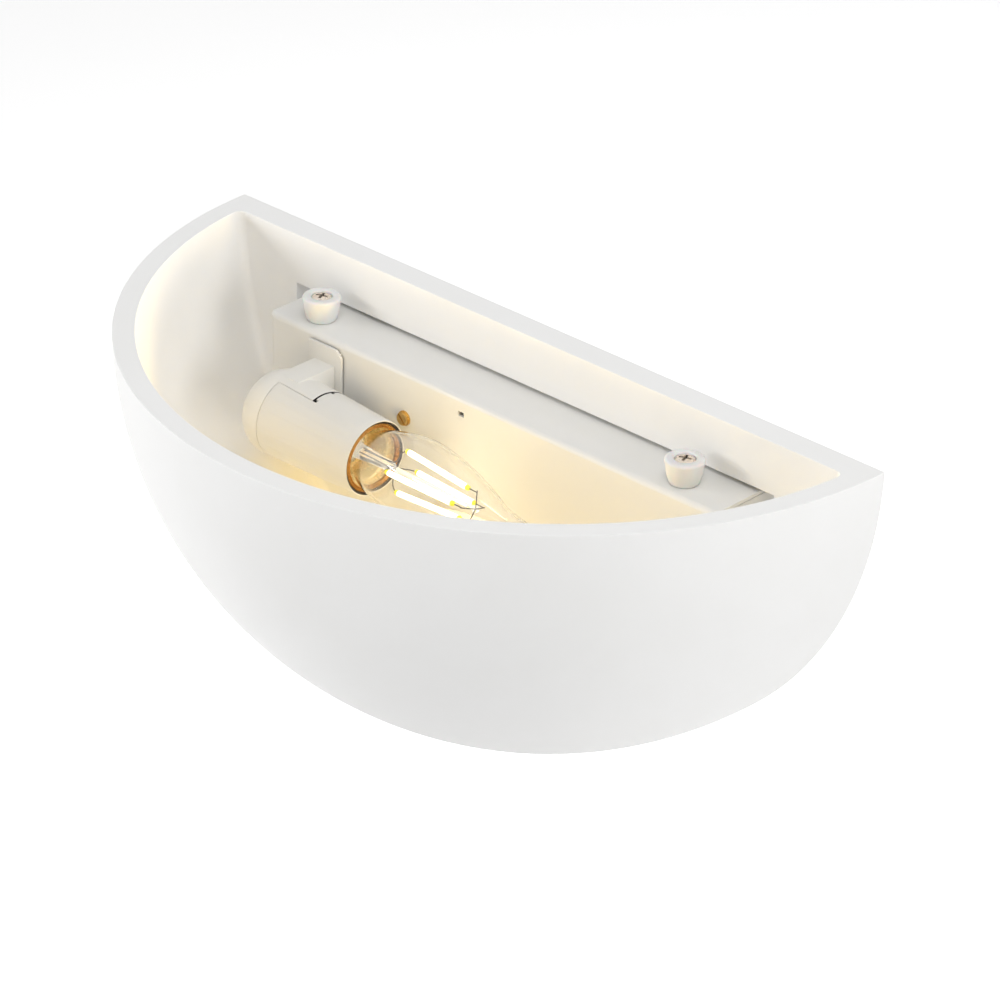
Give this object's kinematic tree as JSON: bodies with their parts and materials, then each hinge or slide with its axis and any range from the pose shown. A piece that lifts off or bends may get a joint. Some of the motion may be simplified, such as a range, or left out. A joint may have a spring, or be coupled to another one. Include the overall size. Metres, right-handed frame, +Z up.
{
  "type": "uplighter wall sconce",
  "caption": "Quarter-sphere plaster bowl on a folded steel channel, holding one candle-shaped screw-cap lamp that lights the wall upwards.",
  "frame": {"origin": "midway between the wall plate's two fixing slots, on the wall's face", "axes": "+X along the wall to the right as seen from the room, +Y into the wall, +Z up"},
  "size_m": [0.3, 0.1489, 0.147],
  "materials": {
    "plaster": "matte white plaster, smooth, with faint mottling; matte_plastic stands in for plaster",
    "white_steel": "satin white powder coat on sheet steel",
    "zinc_steel": "zinc-plated sheet steel and steel parts",
    "nylon": "milky translucent nylon",
    "screw_steel": "plated steel screws, slightly bronze",
    "holder_white": "satin white heat-resistant moulding",
    "brass": "plain brass",
    "carrier": "glazed cream insulator",
    "block_white": "white nylon terminal block",
    "bush_grey": "dark grey flexible bush",
    "lead_brown": "brown insulated wire",
    "lead_blue": "blue insulated wire",
    "lead_earth": "green and yellow insulated wire",
    "lamp_clear": "clear blown glass",
    "lamp_metal": "bright plated screw cap",
    "insulator": "black glass insulator",
    "solder": "dull solder",
    "filament": "yellow phosphor coat, glowing warm white",
    "support_wire": "dark nickel wire",
    "circuit": "green circuit board"
  },
  "bodies": {
    "root": {"plaster_bowl": "plaster", "mounting_channel": "white_steel", "wall_plate": "zinc_steel", "clinch_nuts": "zinc_steel", "cable_bush": "bush_grey", "holder_cap": "holder_white", "holder_sleeve": "holder_white", "contact_carrier": "carrier", "thread_shell": "brass", "centre_contact": "brass", "side_contact": "brass", "holder_terminals": "brass", "terminal_block": "block_white", "terminal_inserts": "brass", "terminal_screws": "zinc_steel", "earth_screw": "brass", "earth_washer": "brass", "earth_ring": "zinc_steel", "earth_nut": "brass", "live_lead": "lead_brown", "neutral_lead": "lead_blue", "earth_lead": "lead_earth"},
    "left_bush": {"left_bush": "nylon"},
    "right_bush": {"right_bush": "nylon"},
    "left_screw": {"left_screw": "screw_steel"},
    "right_screw": {"right_screw": "screw_steel"},
    "lamp": {"lamp_glass": "lamp_clear", "lamp_cap": "lamp_metal", "lamp_insulator": "insulator", "lamp_tip": "solder", "lamp_stem": "lamp_clear", "lamp_filaments": "filament", "lamp_spider": "support_wire", "lamp_driver": "circuit"}
  },
  "joints": [
    {"name": "left_bush_lift", "type": "slide", "parent": "root", "child": "left_bush", "axis": [0, 0, 1], "range_m": [0, 0.0066]},
    {"name": "left_screw_turn", "type": "hinge", "parent": "left_bush", "child": "left_screw", "pos_m": [-0.088, -0.022, 0.0297], "axis": [0, 0, 1], "range_deg": [0, 3960]},
    {"name": "right_bush_lift", "type": "slide", "parent": "root", "child": "right_bush", "axis": [0, 0, 1], "range_m": [0, 0.0066]},
    {"name": "right_screw_turn", "type": "hinge", "parent": "right_bush", "child": "right_screw", "pos_m": [0.0832, -0.022, 0.0297], "axis": [0, 0, 1], "range_deg": [0, 3960]},
    {"name": "lamp_turn", "type": "hinge", "parent": "root", "child": "lamp", "pos_m": [-0.0334, -0.05, -0.0018], "axis": [0.9994, -0.0349, 0], "range_deg": [0, 1800]}
  ],
  "couplings": [
    {"joint": "left_screw_turn", "follows": "left_bush_lift", "rad_per_m": 10472},
    {"joint": "right_screw_turn", "follows": "right_bush_lift", "rad_per_m": 10472}
  ]
}
